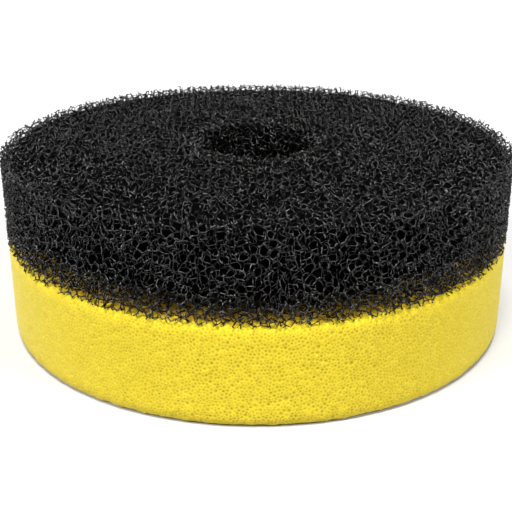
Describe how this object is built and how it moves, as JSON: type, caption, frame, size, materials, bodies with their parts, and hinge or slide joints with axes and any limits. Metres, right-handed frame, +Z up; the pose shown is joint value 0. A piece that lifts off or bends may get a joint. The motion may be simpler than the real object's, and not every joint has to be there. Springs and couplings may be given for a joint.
{
  "type": "sponge filter",
  "caption": "Round pond filter foam set: a coarse black sponge disc stacked on a fine yellow sponge disc, with a central bore for a riser tube.",
  "frame": {"origin": "centre of the stack's lower face, on the axis of the bore", "axes": "+Z up along the bore, from the fine disc to the coarse disc; the stack is round, so X and Y are free"},
  "size_m": [0.25, 0.25, 0.089],
  "materials": {
    "coarse_foam": "matte",
    "fine_foam": "matte"
  },
  "bodies": {
    "fine_disc": {"fine_sponge_disc": "fine_foam"},
    "coarse_disc": {"coarse_sponge_disc": "coarse_foam"}
  },
  "joints": [
    {"name": "lift_off", "type": "slide", "parent": "fine_disc", "child": "coarse_disc", "axis": [0, 0, 1], "range_m": [0, 0.06]}
  ]
}
